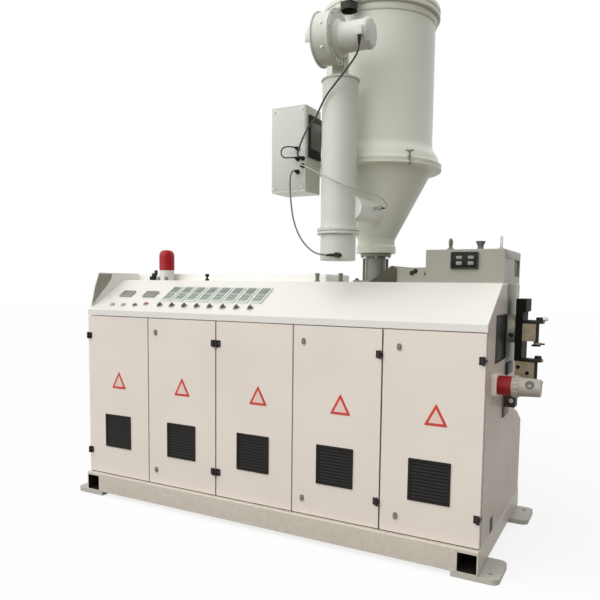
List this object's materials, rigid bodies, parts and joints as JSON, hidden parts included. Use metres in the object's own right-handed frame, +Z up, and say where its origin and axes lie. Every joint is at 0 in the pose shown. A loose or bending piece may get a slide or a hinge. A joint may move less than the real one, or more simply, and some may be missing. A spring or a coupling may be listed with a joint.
{
  "type": "plastic extruder",
  "caption": "Floor-standing plastic extruder: cabinet with five hinged front doors, sloped console, beacon, barrel covers, square die flange and a hopper dryer on top.",
  "frame": {"origin": "on the floor, midway between the four bolt holes of the foot plates", "axes": "+X along the barrel towards the die end, +Y to the rear, +Z up; the doors face -Y"},
  "size_m": [2.696, 1.1563, 2.942],
  "materials": {
    "cabinet_enamel": "stoved warm white enamel, satin",
    "base_enamel": "stoved warm grey enamel, satin",
    "machine_enamel": "sprayed pale grey enamel, satin",
    "black_plastic": "moulded black plastic",
    "black_steel": "black painted steel",
    "button_plastic": "moulded caps",
    "red_lens": "clear red moulded lens",
    "bare_steel": "machined steel",
    "red_plastic": "moulded red plastic",
    "grey_plastic": "moulded grey plastic",
    "black_rubber": "cable sheath"
  },
  "bodies": {
    "machine": {"back_panel": "cabinet_enamel", "barrel": "bare_steel", "base_beams": "cabinet_enamel", "base_deck": "cabinet_enamel", "beacon_base": "cabinet_enamel", "beacon_dome": "red_lens", "blower_motor": "machine_enamel", "blower_scroll": "machine_enamel", "box_bracket": "machine_enamel", "cable_glands": "black_plastic", "console": "cabinet_enamel", "console_cheek": "cabinet_enamel", "control_box": "machine_enamel", "controllers": "black_plastic", "cross_tubes": "cabinet_enamel", "die_flange": "black_steel", "drive_cover": "cabinet_enamel", "end_panels": "cabinet_enamel", "exhaust_bend": "black_plastic", "feed_block": "machine_enamel", "feed_throat": "machine_enamel", "foot_plates": "base_enamel", "frame_hinges": "black_steel", "front_frame": "cabinet_enamel", "heater_cable": "black_rubber", "heater_pipe": "machine_enamel", "heater_pot": "machine_enamel", "hopper_base": "machine_enamel", "hopper_cone": "machine_enamel", "hopper_lid": "machine_enamel", "hopper_shell": "machine_enamel", "hot_air_duct": "machine_enamel", "inlet_guard": "black_steel", "loop_cable": "black_rubber", "low_cover": "machine_enamel", "main_cover": "machine_enamel", "motor_cable": "black_rubber", "panel_meters": "black_plastic", "power_plug": "grey_plastic", "power_socket": "red_plastic", "push_buttons": "button_plastic", "rear_trough": "cabinet_enamel", "selector_switches": "black_plastic", "sensor_lead": "black_rubber", "swing_clamps": "bare_steel"},
    "door_1": {"door_1": "cabinet_enamel", "door_vent_1": "black_plastic", "door_fittings_1": "black_steel"},
    "door_2": {"door_2": "cabinet_enamel", "door_vent_2": "black_plastic", "door_fittings_2": "black_steel"},
    "door_3": {"door_3": "cabinet_enamel", "door_vent_3": "black_plastic", "door_fittings_3": "black_steel"},
    "door_4": {"door_4": "cabinet_enamel", "door_vent_4": "black_plastic", "door_fittings_4": "black_steel"},
    "door_5": {"door_5": "cabinet_enamel", "door_vent_5": "black_plastic", "door_fittings_5": "black_steel"}
  },
  "joints": [
    {"name": "door_1_hinge", "type": "hinge", "parent": "machine", "child": "door_1", "pos_m": [-1.19, -0.51, 0.631], "axis": [0, 0, -1], "range_deg": [0, 110]},
    {"name": "door_2_hinge", "type": "hinge", "parent": "machine", "child": "door_2", "pos_m": [-0.25, -0.51, 0.631], "axis": [0, 0, 1], "range_deg": [0, 90]},
    {"name": "door_3_hinge", "type": "hinge", "parent": "machine", "child": "door_3", "pos_m": [-0.23, -0.51, 0.631], "axis": [0, 0, -1], "range_deg": [0, 90]},
    {"name": "door_4_hinge", "type": "hinge", "parent": "machine", "child": "door_4", "pos_m": [0.71, -0.51, 0.631], "axis": [0, 0, 1], "range_deg": [0, 90]},
    {"name": "door_5_hinge", "type": "hinge", "parent": "machine", "child": "door_5", "pos_m": [1.19, -0.51, 0.631], "axis": [0, 0, 1], "range_deg": [0, 110]}
  ]
}
